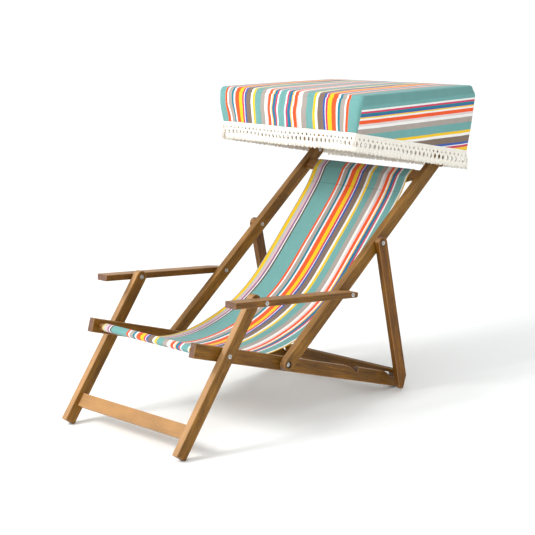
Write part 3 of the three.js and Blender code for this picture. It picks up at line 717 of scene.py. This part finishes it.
def outline(a, b, down, inset):
    """Plan position and outward direction of the canopy's side where the square point (a, b) lies."""
    front, rear = lerp(FRONT_TOP, FRONT_BOTTOM, down), lerp(REAR_TOP, REAR_BOTTOM, down)
    half_x = lerp(HALF_TOP, HALF_BOTTOM, down) - inset
    y0, y1 = front[0] + inset, rear[0] - inset
    half_y, centre = (y1 - y0) / 2, (y0 + y1) / 2
    radius = max(CORNER - inset, 3.0)
    x, y = a * half_x, b * half_y
    over_x, over_y = abs(x) - (half_x - radius), abs(y) - (half_y - radius)
    on_side = abs(a) >= NEARLY_ONE
    if over_x > 0 and over_y > 0:
        angle = math.pi / 4 * (over_y / radius if on_side else 2 - over_x / radius)
        out = side(math.copysign(math.cos(angle), x), math.copysign(math.sin(angle), y))
        x = math.copysign(half_x - radius, x) + out[0] * radius
        y = math.copysign(half_y - radius, y) + out[1] * radius
    elif on_side:
        out = side(math.copysign(1, a), 0)
    else:
        out = side(0, math.copysign(1, b))
    share = (y + centre - front[0]) / (rear[0] - front[0])
    height = lerp(front[1], rear[1], share) + TWIST * x / HALF_TOP * smooth(share) * (1 - down)
    return x, y + centre, height, out


def border():
    """The square's edge as (a, b), counter-clockwise from above, from the front corner at -X."""
    square = [(2 * i / NX - 1, -1.0) for i in range(NX)]
    square += [(1.0, 2 * j / NY - 1) for j in range(NY)]
    square += [(1 - 2 * i / NX, 1.0) for i in range(NX)]
    square += [(-1.0, 1 - 2 * j / NY) for j in range(NY)]
    return square


BORDER = border()


def billow(x, y, out, down):
    """How far the hanging cloth stands off its plain shape."""
    travel = x * abs(out[1]) + y * abs(out[0])
    deep = smooth(down * 1.3)
    wave = noise.noise(Vector((travel * 0.011, down * 0.5, out[0] * 3 + out[1] * 5))) * 6.5
    fine = noise.noise(Vector((travel * 0.034, down * 1.4, out[0] * 7 - out[1] * 2))) * 2.6
    to_rear = smooth((y - FRONT_TOP[0]) / (REAR_TOP[0] - FRONT_TOP[0]))
    front_puff = 5.5 * math.sin(math.pi * 0.85 * down ** 0.8) - 7.0 * down ** 2
    rear_puff = REAR_PUFF * smooth(down / 0.18)
    crease = 0.0
    if out[1] < -0.99:
        crease = -3.0 * math.exp(-((x - PLEAT - 20) / 9) ** 2) * smooth((down - 0.4) / 0.45)
    elif abs(out[0]) > 0.99:
        crease = -4.0 * math.exp(-((REAR_TOP[0] - y - 42) / 15) ** 2) * smooth(down * 1.2)
    return deep * (wave + fine) + lerp(front_puff, rear_puff, to_rear) + crease


def skirt_point(a, b, down, inset=0.0, drop=0.0):
    x, y, z, out = outline(a, b, down, inset)
    off = billow(x, y, out, down) if down > 0 else 0.0
    return side(x, y), z - drop, out, off


def top_height(x, y):
    share = (y - FRONT_TOP[0]) / (REAR_TOP[0] - FRONT_TOP[0])
    u, v = x / HALF_TOP, 2 * share - 1
    sag = -TOP_CROWN * (1 - u ** 6) * (1 - v ** 4)
    wrinkle = noise.noise(Vector((x * 0.012, y * 0.006, 4.4))) * 2.4 * (1 - u ** 4) * (1 - v ** 4)
    return lerp(FRONT_TOP[1], REAR_TOP[1], share) + TWIST * u * smooth(share) - sag + wrinkle


def pattern_place(x):
    """Where along the printed pattern the front and top of the cover lie at x, in metres."""
    x = x * NEAR_STRETCH if x > 0 else x
    return min(abs(x - PATTERN_CENTRE), PATTERN_END) / 1000


def skirt_pattern_x(a, b, down, top, x):
    """The x whose stripe the skirt shows at (a, b): between where it hangs and where the top is."""
    straighten = 1 - abs(top[0] / HALF_TOP) ** 3
    along_x = lerp(top[0], x, straighten)
    snake = noise.noise(Vector((along_x * 0.011, down * 2.2, 5.5))) * 7.0
    along_x += snake * math.sin(math.pi * down ** 0.8) * straighten
    if b <= -NEARLY_ONE:
        pinch = math.exp(-((top[0] - PLEAT) / 30) ** 2)
        along_x -= 9 * pinch * smooth((down - 0.4) / 0.45)
    if abs(a) >= NEARLY_ONE:
        from_corner = min(top[1] - FRONT_TOP[0], REAR_TOP[0] - top[1])
        along_x = math.copysign(HALF_TOP + from_corner * 0.6, a)
    return along_x


class CoverPoints:
    """The cover's points, each with two places on the printed pattern: one for the top, front and
    rear, whose stripes run from front to back and down, and one for the sides."""

    def __init__(self):
        self.points, self.main_uv, self.side_uv = [], [], []

    def add(self, spot, main, sideways):
        self.points.append(metres(*spot))
        self.main_uv.append(main)
        self.side_uv.append(sideways)
        return len(self.points) - 1

    def add_top(self):
        for j in range(NY + 1):
            for i in range(NX + 1):
                a, b = 2 * i / NX - 1, 2 * j / NY - 1
                if i in (0, NX) or j in (0, NY):
                    x, y, z, _ = outline(a, b, 0, ROLL)
                else:
                    x = a * (HALF_TOP - ROLL)
                    y = lerp(FRONT_TOP[0] + ROLL, REAR_TOP[0] - ROLL, (b + 1) / 2)
                    z = top_height(x, y)
                self.add((x, y, z), (pattern_place(x), y / 1000), (0.0, y / 1000))

    def add_skirt_point(self, a, b, down, inset, drop):
        plan, z, out, off = skirt_point(a, b, down, inset, drop)
        top = outline(a, b, 0, 0)
        depth = top[2] - z
        share = (top[1] - FRONT_TOP[0]) / (REAR_TOP[0] - FRONT_TOP[0])
        from_top = lerp(SIDE_FROM_TOP_FRONT, SIDE_FROM_TOP_REAR, share)
        main = pattern_place(skirt_pattern_x(a, b, down, top, plan[0]))
        sideways = max(depth * SIDE_SCALE - from_top, 0)
        return self.add((*(plan + out * off), z), (main, (top[1] + math.copysign(depth, b)) / 1000),
                        (sideways / 1000, top[1] / 1000))


def skirt_rows():
    """For each ring of the skirt: how far down it is, and its inset and drop where the edge rolls."""
    turns = [math.radians(90 * k / ROLL_RINGS) for k in range(1, ROLL_RINGS + 1)]
    rolled = [(0.0, ROLL * (1 - math.sin(t)), ROLL * (1 - math.cos(t))) for t in turns]
    return rolled + [(k / SKIRT_STEPS, 0.0, 0.0) for k in range(3, SKIRT_STEPS + 1)]


def shows_side(r, c, d):
    """Whether the skirt's face in row r, between border points c and d, shows the side's stripes."""
    (a0, b0), (a1, b1) = BORDER[c], BORDER[d]
    from_middle = abs((b0 + b1) / 2) * (REAR_TOP[0] - FRONT_TOP[0]) / 2
    return abs((a0 + a1) / 2) > NEARLY_ONE and from_middle < SIDE_STRIPES_REACH and r >= ROLL_RINGS / 2


def make_cover():
    cloth = CoverPoints()
    cloth.add_top()
    rings = [[grid_index(a, b) for a, b in BORDER]]
    rings += [[cloth.add_skirt_point(a, b, *row) for a, b in BORDER] for row in skirt_rows()]
    faces = grid_faces(NY + 1, NX + 1)
    uvs = [cloth.main_uv[v] for face in faces for v in face]
    for r, (upper, lower) in enumerate(zip(rings, rings[1:])):
        for c in range(len(BORDER)):
            d = (c + 1) % len(BORDER)
            face = (upper[d], upper[c], lower[c], lower[d])
            faces.append(face)
            places = cloth.side_uv if shows_side(r, c, d) else cloth.main_uv
            uvs += [places[v] for v in face]
    piece = new_piece("canopy_canvas", cloth.points, faces, striped_cloth("canopy_canvas"), uvs)
    thicken(piece, COVER_CLOTH / 1000)
    return piece


def grid_index(a, b):
    return round((b + 1) / 2 * NY) * (NX + 1) + round((a + 1) / 2 * NX)


cover = make_cover()


# ---------------------------------------------------------------- canopy fringe
FRINGE_PITCH = 18.6
FRINGE_DEPTH = 61.0
REAR_LONGER = 7.0
TAPE_DEPTH = 13.0
# The tape's half thickness at depths below the cover's edge.
TAPE_PROFILE = [(-2.0, 0.35), (0.5, 1.2), (3.0, 1.5), (5.5, 0.9), (8.0, 1.5), (10.5, 1.2), (TAPE_DEPTH, 0.5)]
TAPE_STEP = 1.6
TAPE_RIB = 3.3
FIRST_HOLES = 19.0
HOLE_ROWS = 14.5
STRAND_STEPS = 26
STRAND_RADIUS = 4.7
TAIL_PITCH = 3.5
TAIL_STEPS = 6
TAIL_RADIUS = 2.35


def lower_edge(index):
    """A point of the cover's lower edge and the way out of it there."""
    a, b = BORDER[index % len(BORDER)]
    plan, z, out, off = skirt_point(a, b, 1.0)
    spot = plan + out * (off + 0.2)
    return np.array([spot[0], spot[1], z]), np.array([out[0], out[1], 0.0])


class EdgeRun:
    """The cover's lower edge from one border point to another."""

    def __init__(self, first, last):
        spots, outs = zip(*(lower_edge(i) for i in range(first, last + 1)))
        self.spots, self.outs = np.array(spots), np.array(outs)
        self.along = np.concatenate([[0], np.cumsum(np.linalg.norm(np.diff(self.spots, axis=0), axis=1))])
        self.length = self.along[-1]

    def between(self, table, s):
        return np.array([np.interp(s, self.along, table[:, k]) for k in range(3)])

    def inside(self, s):
        return min(max(s, 1.0), self.length - 1.0)

    def ways(self, s):
        """The edge's point at s, and the ways out and down from it."""
        ahead = self.between(self.spots, min(s + 6, self.length)) - self.between(self.spots, max(s - 6, 0))
        ahead /= np.linalg.norm(ahead)
        out = self.between(self.outs, s)
        out /= np.linalg.norm(out)
        down = np.cross(ahead, out)
        down /= np.linalg.norm(down)
        return self.between(self.spots, s), out, -down if down[2] > 0 else down

    def hang(self, s, depth, off):
        """The place that hangs depth below the edge at s, and off outside it."""
        spot, out, down = self.ways(s)
        sway = noise.noise(Vector((spot[0] * 0.02, spot[1] * 0.02, 9.1))) * 3.0 * (depth / FRINGE_DEPTH) ** 2
        return metres(*(spot + down * depth + out * (off + sway)))


def tape(run):
    """The ribbed tape along the top."""
    loop = TAPE_PROFILE + [(depth, -half) for depth, half in reversed(TAPE_PROFILE)]
    samples = int(run.length / TAPE_STEP)
    vertices = []
    for i in range(samples + 1):
        s = run.length * i / samples
        rib = 0.82 + 0.3 * math.sin(s * 2 * math.pi / TAPE_RIB)
        vertices += [run.hang(s, depth, half * rib - 0.4) for depth, half in loop]
    return vertices, tube_faces(samples + 1, len(loop))


def strand(run, pitch, k, hand, longer):
    """One wide strand of a crossing pair; the pairs leave two staggered rows of small holes."""
    centre = (k + 0.5) * pitch
    points, radii = [], []
    for i in range(STRAND_STEPS + 1):
        depth = lerp(TAPE_DEPTH - 3, FRINGE_DEPTH + longer - 9, i / STRAND_STEPS)
        phase = (depth - FIRST_HOLES) / HOLE_ROWS
        swing = math.sin(phase * math.pi / 2)
        swing = math.copysign(abs(swing) ** 1.35, swing)
        s = run.inside(centre + hand * (pitch * 0.5 * swing + 0.8))
        points.append(run.hang(s, depth, hand * 0.9 * math.cos(phase * math.pi)))
        radii.append((STRAND_RADIUS + 0.45 * math.sin(i * 2.1 + k)) / 1000)
    return tube(points, radii, 10, 0.36, Vector(run.ways(centre)[1]))


def trimmed_end(run, pitch, centre, longer):
    """One of the thick trimmed ends along the bottom."""
    scallop = 2.6 * abs(math.cos(math.pi * centre / pitch))
    finish = FRINGE_DEPTH + longer - 2.6 + scallop + random.uniform(-1.0, 0.6)
    begin = HOLE_ROWS + FIRST_HOLES + 6.5 + random.uniform(0, 2)
    lean, stand = random.uniform(-1.3, 1.3), random.uniform(-1.4, 1.4)
    points, radii = [], []
    for i in range(TAIL_STEPS + 1):
        share = i / TAIL_STEPS
        s = run.inside(centre + lean * share ** 2)
        points.append(run.hang(s, lerp(begin, finish, share), stand * share))
        radii.append((TAIL_RADIUS - 1.1 * share ** 3) / 1000)
    return tube(points, radii, 7, 0.7, Vector(run.ways(centre)[1]))


def fringe_side(name, first, last, node, longer=0.0):
    run = EdgeRun(first, last)
    pile = Pile()
    pile.add(*tape(run))
    count = round(run.length / FRINGE_PITCH)
    pitch = run.length / count
    for k in range(count):
        for hand in (1, -1):
            pile.add(*strand(run, pitch, k, hand, longer))
    ends = round(run.length / TAIL_PITCH)
    for k in range(ends):
        pile.add(*trimmed_end(run, pitch, (k + 0.5) * run.length / ends, longer))
    piece = new_piece(name, pile.vertices, pile.faces, COTTON)
    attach(piece, "canopy")
    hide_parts(node)
    return piece


COTTON = cotton("fringe_cotton")
# The border runs along the front, the sitter's left, the rear and the sitter's right.
fringes = [
    fringe_side("fringe_front", 0, NX, "canopy_fringe_front"),
    fringe_side("fringe_left", NX, NX + NY, "canopy_fringe_left"),
    fringe_side("fringe_rear", NX + NY, 2 * NX + NY, "canopy_fringe_rear", REAR_LONGER),
    fringe_side("fringe_right", 2 * NX + NY, 2 * (NX + NY), "canopy_fringe_right"),
]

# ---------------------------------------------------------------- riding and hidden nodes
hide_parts("sling_seat", "sling_back")
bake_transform(sling)
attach(cover, "canopy")
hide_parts("canopy_cover")


# ---------------------------------------------------------------- floor and light
FLOOR_HALF = 30


def make_floor():
    """A white floor that glows a little, far from the chair, so that it stays white there."""
    net = Net("studio_floor", Roughness=0.9, Emission_Color=(1, 1, 1, 1))
    place = net.add("TexCoord").outputs["Object"]
    away = net.add("VectorMath", {0: place}, operation="LENGTH").outputs["Value"]
    net.links.new(net.spread(away, 1.8, 7.0, 0.0, 0.18), net.shader.inputs["Emission Strength"])
    grain = net.noise(place, 220, 3)
    net.links.new(net.ramp(grain, [(0.3, colour(249, 252, 252)), (0.7, colour(251, 254, 254))]),
                  net.shader.inputs["Base Color"])
    corners = [(a * FLOOR_HALF, b * FLOOR_HALF, 0) for a, b in ((-1, -1), (1, -1), (1, 1), (-1, 1))]
    new_piece("floor", corners, [(0, 1, 2, 3)], net.material)


def area_light(name, place, aim, size, power, tint=(1, 1, 1)):
    data = bpy.data.lights.new(name, "AREA")
    data.shape = "DISK"
    data.size = size
    data.energy = power
    data.color = tint
    lamp = bpy.data.objects.new(name, data)
    lamp.location = place
    lamp.rotation_mode = "QUATERNION"
    lamp.rotation_quaternion = (Vector(aim) - Vector(place)).to_track_quat("-Z", "Y")
    bpy.context.scene.collection.objects.link(lamp)


def make_light():
    world = bpy.data.worlds.new("studio")
    bpy.context.scene.world = world
    world.use_nodes = True
    world.node_tree.nodes["Background"].inputs["Color"].default_value = (1, 1, 1, 1)
    world.node_tree.nodes["Background"].inputs["Strength"].default_value = 0.92
    area_light("key", (-1.6, -3.6, 3.4), (0, 0, 0.4), 1.8, 160, (1, 0.985, 0.96))
    area_light("fill", (3.6, -2.6, 2.4), (0, 0, 0.5), 3.0, 25)


make_floor()
make_light()
bpy.context.scene.view_settings.view_transform = "Standard"
